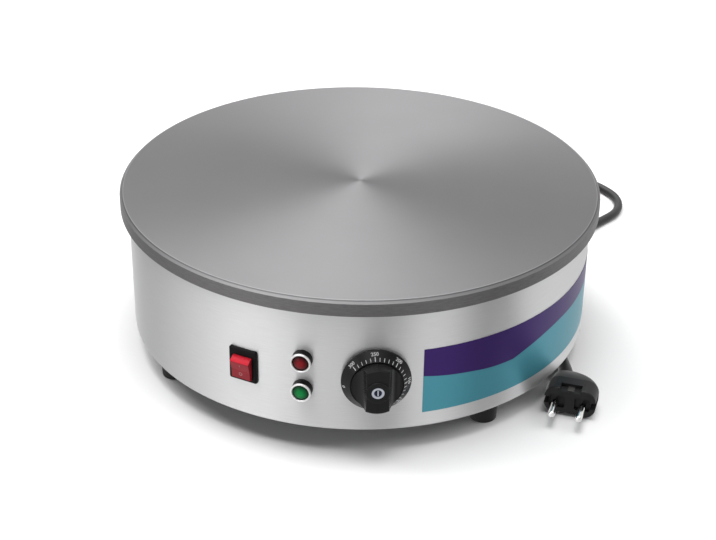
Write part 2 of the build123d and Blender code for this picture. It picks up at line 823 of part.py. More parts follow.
with BuildPart() as knob_insert:
    with BuildSketch(knob_plane.offset(disc_front - insert_recess)):
        Circle(insert_radius)
    extrude(amount=insert_recess - 0.1)
    # Raised rim with a sunk middle
    with BuildSketch(knob_plane.offset(disc_front - 0.1)):
        Circle(insert_radius - 1.5)
    extrude(amount=-0.5, mode=Mode.SUBTRACT)

knob_insert.part.label = "knob_insert"
export_step(knob_insert.part, "parts/knob_insert.step")

with BuildPart() as thermostat_shaft:
    with BuildSketch(knob_plane.offset(-shaft_back)):
        Circle(shaft_radius)
    extrude(amount=shaft_back + shaft_front)

thermostat_shaft.part.label = "thermostat_shaft"
export_step(thermostat_shaft.part, "parts/thermostat_shaft.step")


# ---- Terminal block and earth stud on the base ----

floor_inside = base_bottom + sheet
block_size = (40.0, 20.0, 16.0)

with BuildPart() as terminal_block:
    with BuildSketch(Plane.XY.offset(floor_inside)):
        with Locations(block_place):
            Rectangle(block_size[0], block_size[1])
    extrude(amount=block_size[2])
    fillet(terminal_block.edges().filter_by(Axis.Z), radius=2)
    with BuildSketch(Plane.XY.offset(floor_inside + block_size[2])):
        with Locations(block_place):
            with GridLocations(12, 0, 3, 1):
                Rectangle(9, block_size[1] - 7)
    extrude(amount=-7, mode=Mode.SUBTRACT)
    with BuildSketch(Plane.XY.offset(floor_inside)):
        with Locations(block_place):
            with GridLocations(block_screw_spacing, 0, 2, 1):
                Circle(1.65)
    extrude(amount=block_size[2], mode=Mode.SUBTRACT)

terminal_block.part.label = "terminal_block"
export_step(terminal_block.part, "parts/terminal_block.step")

with BuildPart() as earth_stud:
    with BuildSketch(Plane.XY.offset(base_bottom - 2)):
        with Locations(earth_place):
            Circle(4)
    extrude(amount=2)
    with BuildSketch(Plane.XY.offset(base_bottom)):
        with Locations(earth_place):
            Circle(2)
    extrude(amount=16)
    with BuildSketch(Plane.XY.offset(floor_inside)):
        with Locations(earth_place):
            RegularPolygon(3.5, 6, major_radius=False)
    extrude(amount=3.2)

earth_stud.part.label = "earth_stud"
export_step(earth_stud.part, "parts/earth_stud.step")


# ---- Cable gland ----

gland_flange = 5.0
gland_thread = 8.0
cap_hex = 6.5                    # height of the cap's flats
boot_root = 6.0
boot_tip = 4.6

with BuildPart() as gland_body:
    with BuildSketch(gland_plane.offset(-1)):
        RegularPolygon(10.5, 6, major_radius=False)
    extrude(amount=gland_flange + 1)
    with Locations((0, 0, gland_height)):
        Cylinder(drum_radius, 60, mode=Mode.SUBTRACT)
    with BuildSketch(gland_plane.offset(-gland_thread)):
        Circle(gland_thread)
    extrude(amount=gland_thread + 1)
    with BuildSketch(gland_plane.offset(gland_flange)):
        Circle(cord_radius + 0.2)
    extrude(amount=-gland_flange - gland_thread, mode=Mode.SUBTRACT)

gland_body.part.label = "gland_body"
export_step(gland_body.part, "parts/gland_body.step")

with BuildPart() as gland_cap:
    with BuildSketch(gland_plane.offset(gland_flange)):
        RegularPolygon(9.5, 6, major_radius=False)
    extrude(amount=cap_hex)
    with BuildSketch(gland_plane.offset(gland_flange + cap_hex)):
        Circle(9.2)
    extrude(amount=gland_reach - gland_flange - cap_hex)
    fillet(gland_cap.faces().sort_by(axis_of(gland_plane))[-1].edges(), radius=2.6)
    with BuildSketch(gland_plane.offset(gland_reach)):
        Circle(cord_radius + 0.2)
    extrude(amount=gland_flange - gland_reach, mode=Mode.SUBTRACT)

gland_cap.part.label = "gland_cap"
export_step(gland_cap.part, "parts/gland_cap.step")

with BuildPart() as gland_locknut:
    with BuildSketch(gland_plane.offset(-sheet - 0.6)):
        RegularPolygon(11, 6, major_radius=False)
        Circle(gland_thread + 0.05, mode=Mode.SUBTRACT)
    extrude(amount=-5)

gland_locknut.part.label = "gland_locknut"
export_step(gland_locknut.part, "parts/gland_locknut.step")

with BuildPart() as cord_boot:
    with BuildSketch(gland_plane.offset(gland_reach)):
        Circle(boot_root)
    with BuildSketch(gland_plane.offset(gland_reach + boot_length)):
        Circle(boot_tip)
    loft()
    # Grooves that let the boot flex
    for step in range(4):
        with BuildSketch(gland_plane.offset(gland_reach + 7 + 5.4 * step)):
            Circle(boot_root)
            Circle(boot_tip - 0.3, mode=Mode.SUBTRACT)
        extrude(amount=2, mode=Mode.SUBTRACT)

cord_boot.part.label = "cord_boot"
export_step(cord_boot.part, "parts/cord_boot.step")


# ---- Supply cord ----

def cord_radii(points):
    """Bend radius at each inner point: 0.45 of the shorter run over the tangent of half the turn."""
    radii = []
    for before, here, after in zip(points, points[1:], points[2:]):
        run_in = Vector(*here) - Vector(*before)
        run_out = Vector(*after) - Vector(*here)
        half_turn = radians(run_in.get_angle(run_out)) / 2
        radii.append(0.45 * min(run_in.length, run_out.length) / tan(half_turn))
    return radii


# From the gland down to the table and into the coil
supply_route = [
    (0, 217, 39.4),
    (0, 245, 39.4),
    (4.4, 270.5, 26.2),
    (16.6, 291.5, 10.5),
    (38.5, 303.2, 4.6),
    (65.6, 304.5, 4.4),
]

# From the coil round a loose loop, then forward under the drum to the plug
plug_route = [
    (65.6, 301, 10.5),
    (87.5, 301, 13.1),
    (113.8, 295.8, 6.1),
    (136.5, 285.3, floor_level),
    (158.4, 273.9, floor_level),
    (177.6, 253.8, floor_level),
    (179.4, 226.6, floor_level),
    (162.8, 202.1, floor_level),
    (148.8, 174.1, floor_level),
    (141.2, 141.8, floor_level),
    (139.1, 105.9, floor_level),
    (140.9, 70.0, floor_level),
    (144.6, 32.0, floor_level),
    (151.0, 2.5, 3.9),
    (158.5, -22.5, 6.6),
]

for lead_name, route in (("supply", supply_route), ("plug", plug_route)):
    print(lead_name, "lead radii:", [round(r, 1) for r in cord_radii(route)])

with BuildPart() as cord_supply_lead:
    with BuildLine() as supply_line:
        FilletPolyline(*supply_route, radius=cord_radii(supply_route))
    with BuildSketch(Plane(origin=supply_route[0], z_dir=supply_line.line % 0)):
        Circle(cord_radius)
    sweep(path=supply_line.wire())

cord_supply_lead.part.label = "cord_supply_lead"
export_step(cord_supply_lead.part, "parts/cord_supply_lead.step")

with BuildPart() as cord_plug_lead:
    with BuildLine() as plug_line:
        FilletPolyline(*plug_route, radius=cord_radii(plug_route))
    with BuildSketch(Plane(origin=plug_route[0], z_dir=plug_line.line % 0)):
        Circle(cord_radius)
    sweep(path=plug_line.wire())

cord_plug_lead.part.label = "cord_plug_lead"
export_step(cord_plug_lead.part, "parts/cord_plug_lead.step")

# Coil of three turns: two side by side on the table, the third in the groove between them
coil_x = 65.6
coil_y = 262.5
coil_radius = 38.5
coil_level = 4.4                 # axis of the two lower turns; the tie passes under them
coil_rise = 2 * cord_radius * cos(radians(30))
tie_thickness = 0.8
tie_sweep = 11.0
coil_section_plane = Plane((coil_x, coil_y, 0), x_dir=(1, 0, 0), z_dir=(0, -1, 0))
coil_axis = Axis((coil_x, coil_y, 0), (0, 0, 1))
turn_places = (
    (coil_radius - cord_radius, coil_level),
    (coil_radius + cord_radius, coil_level),
    (coil_radius, coil_level + coil_rise),
)

with BuildPart() as cord_coil:
    with BuildSketch(coil_section_plane):
        with BuildLine():
            for place in turn_places:
                CenterArc(place, cord_radius, 0, 360)
        make_hull()
    revolve(axis=coil_axis)

cord_coil.part.label = "cord_coil"
export_step(cord_coil.part, "parts/cord_coil.step")

with BuildPart() as cord_tie:
    for radius, mode in ((cord_radius + tie_thickness, Mode.ADD), (cord_radius, Mode.SUBTRACT)):
        with BuildSketch(coil_section_plane):
            with BuildLine():
                for place in turn_places:
                    CenterArc(place, radius, 0, 360)
            make_hull()
        revolve(axis=coil_axis, revolution_arc=tie_sweep, mode=mode)

cord_tie.part.label = "cord_tie"
export_step(cord_tie.part, "parts/cord_tie.step")


# ---- Plug ----

plug_face = (171.8, -88.5, 11.4)
plug_turn = -4.0
plug_width = 36.5
plug_thickness = 22.5
plug_corner = 9.0
plug_straight = 15.0
plug_length = 37.0
neck = 5.7
neck_offset = (-8.5, -3.0)       # the cord leaves low on the plug's left
neck_turn = 12.0
plug_pin_radius = 2.4
plug_pin_length = 19.0
plug_pin_spacing = 19.0
earth_slot = (15.0, 2.6, 7.0)    # width, depth and length of the slots for the earth strips
guide_slot = (3.6, 5.4, 12.0)
face_pocket = (11.0, 10.0, 2.4)
relief_end = plug_route[-1]


def standing_plane(origin, angle):
    """Upright plane: X level, Y up, Z to the front and turned by an angle towards +X."""
    a = radians(angle)
    return Plane(origin, x_dir=(cos(a), sin(a), 0), z_dir=(sin(a), -cos(a), 0))


plug_plane = standing_plane(plug_face, plug_turn)
neck_centre = plug_plane.from_local_coords(Vector(*neck_offset, -plug_length))
neck_plane = standing_plane(neck_centre, neck_turn)

with BuildPart() as plug_body:
    with BuildSketch(plug_plane):
        RectangleRounded(plug_width, plug_thickness, plug_corner)
    extrude(amount=-plug_straight)
    fillet(plug_body.faces().sort_by(axis_of(plug_plane))[-1].edges(), radius=1.3)
    # Shoulders, rounding in to the neck and leaning towards it
    for back, size, corner, offset in (
        (0, (plug_width, plug_thickness), plug_corner, (0, 0)),
        (0.42, (30.5, 19.5), 8.0, (-1.8, -0.8)),
        (0.8, (21.0, 15.0), 6.5, (-5.6, -2.2)),
    ):
        with BuildSketch(plug_plane.offset(-plug_straight - back * (plug_length - plug_straight))):
            with Locations(offset):
                RectangleRounded(*size, corner)
    with BuildSketch(neck_plane):
        Circle(neck)
    loft()
    # Slots on both flats for the earth strips, guide grooves on the sides
    for flat in (plug_thickness / 2, -plug_thickness / 2):
        with BuildSketch(plug_plane):
            with Locations((0, flat)):
                Rectangle(earth_slot[0], 2 * earth_slot[1])
        extrude(amount=-earth_slot[2], mode=Mode.SUBTRACT)
    for side in (plug_width / 2, -plug_width / 2):
        with BuildSketch(plug_plane):
            with Locations((side, 0)):
                Rectangle(2 * guide_slot[0], guide_slot[1])
        extrude(amount=-guide_slot[2], mode=Mode.SUBTRACT)
    # Shallow pockets round the pins, with a web between them
    with BuildSketch(plug_plane):
        with Locations((plug_pin_spacing / 2 - 0.6, 0), (0.6 - plug_pin_spacing / 2, 0)):
            RectangleRounded(face_pocket[0], face_pocket[1], 1.5)
    extrude(amount=-face_pocket[2], mode=Mode.SUBTRACT)
    # Tapered relief, bent with the cord
    with BuildLine() as relief_line:
        TangentArc(neck_plane.origin, relief_end, tangent=-neck_plane.z_dir)
    for share, radius in ((0, neck - 0.3), (0.35, 4.9), (0.7, 4.4), (1, 4.1)):
        with BuildSketch(Plane(relief_line.line @ share, z_dir=relief_line.line % share)):
            Circle(radius)
    loft()

plug_body.part.label = "plug_body"
export_step(plug_body.part, "parts/plug_body.step")

with BuildPart() as plug_pins:
    with BuildSketch(plug_plane.offset(-face_pocket[2])):
        with Locations((plug_pin_spacing / 2, 0), (-plug_pin_spacing / 2, 0)):
            Circle(plug_pin_radius)
    extrude(amount=plug_pin_length + face_pocket[2])
    fillet(plug_pins.faces().group_by(axis_of(plug_plane))[-1].edges(), radius=2.0)

plug_pins.part.label = "plug_pins"
export_step(plug_pins.part, "parts/plug_pins.step")

with BuildPart() as plug_earth_strips:
    strip_place = plug_thickness / 2 - earth_slot[1] + 0.3
    for flat in (strip_place, -strip_place):
        with BuildSketch(plug_plane.offset(-1)):
            with Locations((0, flat)):
                Rectangle(4.5, 0.6)
        extrude(amount=1 - earth_slot[2])

plug_earth_strips.part.label = "plug_earth_strips"
export_step(plug_earth_strips.part, "parts/plug_earth_strips.step")
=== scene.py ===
import math

import bpy
from mathutils import Matrix, Vector


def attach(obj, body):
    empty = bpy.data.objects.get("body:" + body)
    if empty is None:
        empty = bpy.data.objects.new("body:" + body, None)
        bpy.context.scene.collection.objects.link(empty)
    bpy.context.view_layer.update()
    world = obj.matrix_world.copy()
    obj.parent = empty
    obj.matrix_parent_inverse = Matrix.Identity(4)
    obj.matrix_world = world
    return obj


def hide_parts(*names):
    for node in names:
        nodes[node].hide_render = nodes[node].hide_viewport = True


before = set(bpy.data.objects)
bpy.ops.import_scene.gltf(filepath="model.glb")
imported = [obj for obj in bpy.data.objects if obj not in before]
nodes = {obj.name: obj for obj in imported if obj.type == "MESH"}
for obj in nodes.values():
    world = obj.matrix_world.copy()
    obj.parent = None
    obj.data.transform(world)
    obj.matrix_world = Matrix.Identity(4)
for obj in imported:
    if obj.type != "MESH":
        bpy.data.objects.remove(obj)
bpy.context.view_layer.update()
print("frame loaded")

mm = 0.001

# the drum's wall and the top of the plate on it, in millimetres
drum = {"radius": 169.0, "plateTop": 121.7}

# what stands on the wall, by degrees from the front and height in millimetres
places = {
    "rocker": (-14.4, 56.2),
    "redLamp": (0.0, 71.8),
    "greenLamp": (0.0, 48.6),
    "knob": (16.6, 59.7),
}


def fromFront(azimuth, elevation=0.0):
    # a direction, by degrees round from the front and up from the table
    a, e = math.radians(azimuth), math.radians(elevation)
    return Vector((math.sin(a) * math.cos(e), -math.cos(a) * math.cos(e), math.sin(e)))


def panelMatrix(azimuth, height):
    # on the drum's wall: x to the right, y up, z outwards
    up, outward = Vector((0, 0, 1)), fromFront(azimuth)
    matrix = Matrix((up.cross(outward), up, outward)).transposed().to_4x4()
    matrix.translation = (outward * drum["radius"] + up * height) * mm
    return matrix


def putInScene(name, data):
    added = bpy.data.objects.new(name, data)
    bpy.context.scene.collection.objects.link(added)
    return added


# camera

cameraPlace = {
    "location": (0.2291, -1.0428, 0.6511),
    "target": (-0.0006, -0.0002, 0.0461),
    "roll": 0.841,
    "lens": 81.62,
    "sensor": 36.0,
    "clip": (0.05, 20),
}


def addCamera(place):
    data = bpy.data.cameras.new("camera")
    data.sensor_width = place["sensor"]
    data.lens = place["lens"]
    data.clip_start, data.clip_end = place["clip"]
    camera = putInScene("camera", data)
    camera.rotation_mode = "QUATERNION"
    camera.location = place["location"]
    aim = (Vector(place["target"]) - camera.location).to_track_quat("-Z", "Y")
    roll = Matrix.Rotation(math.radians(place["roll"]), 3, "Z").to_quaternion()
    camera.rotation_quaternion = aim @ roll
    bpy.context.scene.camera = camera


addCamera(cameraPlace)
print("camera placed")

# building blocks of the materials

grainDepth = 0.0002  # of a bump at full strength, in metres
quarterTurn = 0.25
colorSockets = {"first": 6, "second": 7, "result": 2}  # their places on a mix node


def newMaterial(name, color, roughness=0.5, metallic=0.0):
    material = bpy.data.materials.new(name)
    material.use_nodes = True
    shader = material.node_tree.nodes["Principled BSDF"]
    shader.inputs["Base Color"].default_value = (*color, 1)
    shader.inputs["Roughness"].default_value = roughness
    shader.inputs["Metallic"].default_value = metallic
    return material, material.node_tree, shader


def connect(tree, value, socket):
    # the value is another node's output, or plain
    if isinstance(value, bpy.types.NodeSocket):
        tree.links.new(value, socket)
    else:
        socket.default_value = value


def feed(tree, node, **inputs):
    for key, value in inputs.items():
        connect(tree, value, node.inputs[key.replace("_", " ")])


def addNode(tree, kind, settings=None, **inputs):
    node = tree.nodes.new(kind)
    for key, value in (settings or {}).items():
        setattr(node, key, value)
    feed(tree, node, **inputs)
    return node


def mathOn(tree, operation, *values, clamp=False):
    node = addNode(tree, "ShaderNodeMath", {"operation": operation, "use_clamp": clamp})
    for value, socket in zip(values, node.inputs):
        connect(tree, value, socket)
    return node.outputs[0]


def vectorMathOn(tree, operation, *values):
    node = addNode(tree, "ShaderNodeVectorMath", {"operation": operation})
    for value, socket in zip(values, node.inputs):
        connect(tree, value, socket)
    givesNumber = operation in ("LENGTH", "DOT_PRODUCT")
    return node.outputs["Value" if givesNumber else "Vector"]


def times(tree, value, factor):
    return mathOn(tree, "MULTIPLY", value, factor)


def objectPoint(tree):
    return addNode(tree, "ShaderNodeTexCoord").outputs["Object"]


def joined(tree, x, y, z):
    return addNode(tree, "ShaderNodeCombineXYZ", X=x, Y=y, Z=z).outputs["Vector"]


def noiseOn(tree, vector, scale, detail, roughness):
    noise = addNode(tree, "ShaderNodeTexNoise", Vector=vector, Scale=scale, Detail=detail,
                    Roughness=roughness)
    return noise.outputs["Fac"]


def mapTo(tree, value, low, high, fromLow=0.0, fromHigh=1.0):
    node = addNode(tree, "ShaderNodeMapRange", Value=value, From_Min=fromLow, From_Max=fromHigh,
                   To_Min=low, To_Max=high)
    return node.outputs["Result"]


def mixColors(tree, factor, first, second):
    node = addNode(tree, "ShaderNodeMix", {"data_type": "RGBA"}, Factor=factor)
    for side, color in (("first", first), ("second", second)):
        linked = isinstance(color, bpy.types.NodeSocket)
        connect(tree, color if linked else (*color, 1), node.inputs[colorSockets[side]])
    return node.outputs[colorSockets["result"]]


def addBump(tree, shader, height, strength, distance=grainDepth):
    bump = addNode(tree, "ShaderNodeBump", Height=height, Strength=strength, Distance=distance)
    feed(tree, shader, Normal=bump.outputs["Normal"])


def roundUpright(tree, point):
    # the point's angle round the upright axis, in radians from the front, and its X, Y and Z
    axes = addNode(tree, "ShaderNodeSeparateXYZ", Vector=point).outputs
    return mathOn(tree, "ARCTAN2", axes["X"], times(tree, axes["Y"], -1)), axes


def drawnRound(tree, angle, height, closeness):
    # a noise at this point is drawn out into lines round the drum
    along, across = closeness
    return joined(tree, times(tree, angle, along), 0.0, times(tree, height, across))


def followTheTurn(tree, shader, amount):
    # fine lines run round the upright axis, so highlights stretch across them
    tangent = addNode(tree, "ShaderNodeTangent", {"direction_type": "RADIAL", "axis": "Z"})
    feed(tree, shader, Anisotropic=amount, Anisotropic_Rotation=quarterTurn,
         Tangent=tangent.outputs["Tangent"])


def wearIn(tree, shader, color, roughness, cloud, wear):
    # darker and smoother where the cloud is thin
    dark = tuple(channel * wear["dark"] for channel in color)
    low, high = (roughness * factor for factor in wear["roughness"])
    feed(tree, shader, Base_Color=mixColors(tree, cloud, dark, color),
         Roughness=mapTo(tree, cloud, low, high))


def fillCurve(node, spots, corner=None):
    # spots by place along the curve; the first and last are its ends
    points = node.mapping.curves[0].points
    order = sorted(spots)
    points[0].location = (order[0], spots[order[0]])
    points[1].location = (order[-1], spots[order[-1]])
    for place in order[1:-1]:
        point = points.new(place, spots[place])
        if place == corner:
            point.handle_type = "VECTOR"
    node.mapping.update()


# the drum's sheet; here and below, a noise has a scale, a detail and a roughness

brushedSheet = {
    "pale": (0.69, 0.69, 0.695),
    "dark": (0.53, 0.53, 0.535),
    "roughness": (0.36, 0.46),
    "anisotropy": 0.85,
    "lines": (9, 2900),  # how close they lie along and across
    "lineNoise": (1.0, 3.0, 0.7),
    "smudgeNoise": (11.0, 5.0, 0.6),
    "smudgeRoughness": (-0.03, 0.03),
    "relief": 0.04,
}


def brushedDrum(sheet):
    # lines of the brush run round the drum
    material, tree, shader = newMaterial("brushedDrum", sheet["pale"], metallic=1.0)
    angle, axes = roundUpright(tree, objectPoint(tree))
    lines = drawnRound(tree, angle, axes["Z"], sheet["lines"])
    grain = noiseOn(tree, lines, *sheet["lineNoise"])
    smudge = noiseOn(tree, objectPoint(tree), *sheet["smudgeNoise"])
    rough = mathOn(tree, "ADD", mapTo(tree, grain, *sheet["roughness"]),
                   mapTo(tree, smudge, *sheet["smudgeRoughness"]))
    tone = mixColors(tree, grain, sheet["dark"], sheet["pale"])
    feed(tree, shader, Base_Color=tone, Roughness=rough)
    followTheTurn(tree, shader, sheet["anisotropy"])
    addBump(tree, shader, grain, sheet["relief"])
    return material


# the griddle plate

platePaint = {
    "pale": (0.174, 0.173, 0.175),
    "dark": (0.134, 0.133, 0.136),
    "rim": (0.169, 0.165, 0.168),
    "rimDark": (0.118, 0.115, 0.117),
    "roughness": (0.46, 0.54),
    "cloudRoughness": (-0.02, 0.06),
    "anisotropy": 0.65,
    "metallic": 0.9,
    "turning": 1500,  # how close the turned rings lie
    "turnNoise": (1.0, 2.0, 0.6),
    "cloudNoise": (12.0, 6.0, 0.62),
    "speckNoise": (1400.0, 2.0, 0.5),
    "turnShare": 0.35,  # of the top's tone
    "cloudShare": 0.75,
    "speckShare": 0.5,  # of the relief
    "relief": 0.06,
    # painted light on the bevel, from and to this radius, and how bright: a painted highlight
    # line where the bevel starts, a band of painted shade below it, the rest of the bevel
    "paintedEdgeLight": [(172.2, 172.8, 1.45), (173.0, 173.6, 0.58), (173.7, 175.4, 1.08)],
    "paintedBandFade": 0.15,
    "bevel": 2.0,  # its height; the rim's colour starts below it
    "bevelFade": 0.1,
    "streaks": (26, 1100),  # how close they lie along and across
    "streakNoise": (1.0, 5.0, 0.7),
    "streakRange": (0.3, 0.7),
}


# brightens or darkens the colour in a ring between two radii: painted light
def paintedBand(tree, color, radius, band, fade):
    inner, outer, gain = band
    rise = mapTo(tree, radius, 0.0, 1.0, (inner - fade) * mm, (inner + fade) * mm)
    fall = mapTo(tree, radius, 1.0, 0.0, (outer - fade) * mm, (outer + fade) * mm)
    tone = mapTo(tree, mathOn(tree, "MULTIPLY", rise, fall), 1.0, gain)
    return addNode(tree, "ShaderNodeHueSaturation", Color=color, Value=tone).outputs["Color"]


def castPlate(paint):
    # turned rings on the top, streaks round the rim
    material, tree, shader = newMaterial("castPlate", paint["pale"], metallic=paint["metallic"])
    angle, axes = roundUpright(tree, objectPoint(tree))
    radius = vectorMathOn(tree, "LENGTH", joined(tree, axes["X"], axes["Y"], 0.0))
    rings = joined(tree, times(tree, radius, paint["turning"]), 0.0, 0.0)
    turned = noiseOn(tree, rings, *paint["turnNoise"])
    cloud = noiseOn(tree, objectPoint(tree), *paint["cloudNoise"])
    speck = noiseOn(tree, objectPoint(tree), *paint["speckNoise"])
    mixed = mathOn(tree, "MULTIPLY_ADD", turned, paint["turnShare"],
                   times(tree, cloud, paint["cloudShare"]))
    top = mixColors(tree, mixed, paint["dark"], paint["pale"])
    # the bevel's painted highlight and painted shade
    for band in paint["paintedEdgeLight"]:
        top = paintedBand(tree, top, radius, band, paint["paintedBandFade"])
    streaks = noiseOn(tree, drawnRound(tree, angle, axes["Z"], paint["streaks"]),
                      *paint["streakNoise"])
    rim = mixColors(tree, mapTo(tree, streaks, 0.0, 1.0, *paint["streakRange"]),
                    paint["rimDark"], paint["rim"])
    edge = drum["plateTop"] - paint["bevel"]
    onTop = mapTo(tree, axes["Z"], 0.0, 1.0, (edge - paint["bevelFade"]) * mm, edge * mm)
    rough = mathOn(tree, "ADD", mapTo(tree, turned, *paint["roughness"]),
                   mapTo(tree, cloud, *paint["cloudRoughness"]))
    feed(tree, shader, Base_Color=mixColors(tree, onTop, rim, top), Roughness=rough)
    followTheTurn(tree, shader, paint["anisotropy"])
    surface = mathOn(tree, "ADD", turned, times(tree, speck, paint["speckShare"]))
    addBump(tree, shader, surface, paint["relief"])
    return material


# the printed film

film = {
    "upper": (0.036, 0.013, 0.113),
    "lower": (0.064, 0.260, 0.327),
    "metallic": 0.65,
    "shine": 0.15,
    "coat": 0.11,
    "coatRoughness": 0.3,
    "anisotropy": 0.8,
    "roughness": (0.34, 0.42),
    "inkNoise": (900.0, 3.0, 0.6),
    "inkTone": (0.94, 1.06),
    "span": (27.5, 117.5),
    "heights": (29.3, 78.9),
    # height of the line between the two colours, by azimuth
    "line": {27.5: 58.2, 32.4: 56.3, 38.5: 54.7, 45.0: 53.0, 51.2: 52.7, 57.6: 57.2,
             67.5: 61.6, 76.5: 62.4, 117.5: 62.0},
    "corner": 51.2,
    "lineFade": 0.004,  # as a share of the film's height
}


def printedFilm(film):
    # the sheet's sheen comes through the ink
    material, tree, shader = newMaterial("printedFilm", film["lower"], metallic=film["metallic"])
    followTheTurn(tree, shader, film["anisotropy"])
    angle, axes = roundUpright(tree, objectPoint(tree))
    first, last = film["span"]
    low, high = film["heights"]
    along = mapTo(tree, angle, 0.0, 1.0, math.radians(first), math.radians(last))
    line = addNode(tree, "ShaderNodeFloatCurve", Value=along)
    spots = {(a - first) / (last - first): (z - low) / (high - low)
             for a, z in film["line"].items()}
    fillCurve(line, spots, (film["corner"] - first) / (last - first))
    up = mapTo(tree, axes["Z"], 0.0, 1.0, low * mm, high * mm)
    above = mathOn(tree, "SUBTRACT", up, line.outputs[0])
    over = mapTo(tree, above, 0.0, 1.0, -film["lineFade"], film["lineFade"])
    tint = mixColors(tree, over, film["lower"], film["upper"])
    ink = noiseOn(tree, objectPoint(tree), *film["inkNoise"])
    worn = addNode(tree, "ShaderNodeHueSaturation", Color=tint,
                   Value=mapTo(tree, ink, *film["inkTone"]))
    feed(tree, shader, Base_Color=worn.outputs["Color"],
         Roughness=mapTo(tree, ink, *film["roughness"]), Specular_IOR_Level=film["shine"],
         Coat_Weight=film["coat"], Coat_Roughness=film["coatRoughness"])
    return material


# the rocker

rockerPlastic = {
    # painted light and painted shade: the rocker's red where a face points up and where it points
    # away
    "paintedLight": (0.70, 0.022, 0.042),
    "paintedShade": (0.25, 0.014, 0.022),
    "roughness": 0.34,
    "shine": 0.18,
    "paintedLightPeak": 0.75,  # how far up a face points where the painted light is full
    "cloudNoise": (260.0, 3.0, 0.6),
    "cloudTone": (-0.15, 0.2),
}


def redRocker(plastic):
    # painted light: brighter red where a face points up, painted shade where it points sideways or
    # down, with a random cloud
    material, tree, shader = newMaterial("redRocker", plastic["paintedLight"], plastic["roughness"])
    normal = addNode(tree, "ShaderNodeNewGeometry").outputs["Normal"]
    facing = addNode(tree, "ShaderNodeSeparateXYZ", Vector=normal).outputs["Z"]
    paintedLightShare = mapTo(tree, facing, 0.0, 1.0, 0.0, plastic["paintedLightPeak"])
    cloud = noiseOn(tree, objectPoint(tree), *plastic["cloudNoise"])
    tone = mathOn(tree, "ADD", paintedLightShare, mapTo(tree, cloud, *plastic["cloudTone"]), clamp=True)
    feed(tree, shader, Base_Color=mixColors(tree, tone, plastic["paintedShade"], plastic["paintedLight"]),
         Specular_IOR_Level=plastic["shine"])
    return material


# the lenses of the pilot lamps

lenses = {
    # colour in the middle, painted shade at the rim, and the lamp
    "redLens": ((0.215, 0.008, 0.014), (0.030, 0.001, 0.002), "redLamp"),
    "greenLens": ((0.005, 0.220, 0.050), (0.002, 0.050, 0.016), "greenLamp"),
}
lensMould = {
    "roughness": 0.16,
    "shine": 0.11,
    "rimShadeFade": (1.6, 4.6),  # painted shade at the rim starts and is full at these radii
    "rings": 9000.0,
    "relief": 0.12,
    "ringDepth": 0.0001,
}


def lampLens(name, centre, rim, lamp):
    # the lens's colour in the middle, painted shade darkening it towards the rim, and fine moulded
    # rings
    material, tree, shader = newMaterial(name, centre, lensMould["roughness"])
    middle = panelMatrix(*places[lamp]).translation
    offset = vectorMathOn(tree, "SUBTRACT", objectPoint(tree), middle)
    away = vectorMathOn(tree, "LENGTH", vectorMathOn(tree, "MULTIPLY", offset, (1, 0, 1)))
    starts, ends = (radius * mm for radius in lensMould["rimShadeFade"])
    rimShade = mapTo(tree, away, 0.0, 1.0, starts, ends)
    feed(tree, shader, Base_Color=mixColors(tree, rimShade, centre, rim),
         Specular_IOR_Level=lensMould["shine"])
    wave = mathOn(tree, "SINE", times(tree, away, lensMould["rings"]))
    addBump(tree, shader, wave, lensMould["relief"], lensMould["ringDepth"])
    return material


# plain metals

metals = {
    # colour, roughness, scale of its clouds, metallic
    "zincSteel": ((0.62, 0.63, 0.64), 0.35, 40.0, 1.0),
    "baseSteel": ((0.36, 0.365, 0.37), 0.5, 25.0, 1.0),
    # the earth strips' steel is darkened to near black: painted shade for the plug's recess
    "stripSteel": ((0.085, 0.082, 0.078), 0.5, 40.0, 1.0),
    "elementSteel": ((0.20, 0.19, 0.18), 0.5, 40.0, 1.0),
    "brass": ((0.72, 0.56, 0.28), 0.3, 40.0, 1.0),
    "nickelPin": ((0.86, 0.86, 0.85), 0.14, 40.0, 1.0),
    "chromeRing": ((0.86, 0.85, 0.85), 0.3, 40.0, 0.6),
    "sensorCopper": ((0.78, 0.42, 0.26), 0.3, 40.0, 1.0),
    "insertMetal": ((0.66, 0.69, 0.76), 0.3, 40.0, 1.0),
}
metalWear = {"dark": 0.88, "roughness": (0.85, 1.2), "cloudNoise": (6.0, 0.6)}


def plainMetal(name, color, roughness, cloudScale, metallic):
    material, tree, shader = newMaterial(name, color, roughness, metallic)
    cloud = noiseOn(tree, objectPoint(tree), cloudScale, *metalWear["cloudNoise"])
    wearIn(tree, shader, color, roughness, cloud, metalWear)
    return material


# moulded plastics, rubber, ceramic, wool and inks

plastics = {
    # colour, roughness, scale and relief of its grain, shine
    "blackPlastic": ((0.0055, 0.0045, 0.005), 0.42, 900.0, 0.02, 0.09),
    "knobPlastic": ((0.012, 0.012, 0.0125), 0.2, 900.0, 0.01, 0.14),
    "plugPlastic": ((0.016, 0.016, 0.0165), 0.38, 900.0, 0.04, 0.15),
    "cordRubber": ((0.016, 0.016, 0.0165), 0.45, 700.0, 0.04, 0.35),
    "footRubber": ((0.012, 0.012, 0.012), 0.62, 500.0, 0.08, 0.18),
    "ceramic": ((0.74, 0.70, 0.60), 0.5, 500.0, 0.04, 0.18),
    "mineralWool": ((0.70, 0.66, 0.52), 0.9, 120.0, 0.6, 0.18),
    "whiteInk": ((0.62, 0.63, 0.65), 0.5, 700.0, 0.02, 0.18),
    "greyInk": ((0.60, 0.60, 0.61), 0.5, 700.0, 0.02, 0.18),
    "paleInk": ((0.42, 0.16, 0.17), 0.5, 700.0, 0.02, 0.18),
    "darkField": ((0.014, 0.018, 0.040), 0.3, 700.0, 0.02, 0.18),
}
plasticWear = {
    "dark": 0.8,
    "roughness": (0.9, 1.15),
    "grainNoise": (3.0, 0.6),
    "cloudNoise": (60.0, 3.0, 0.5),
}


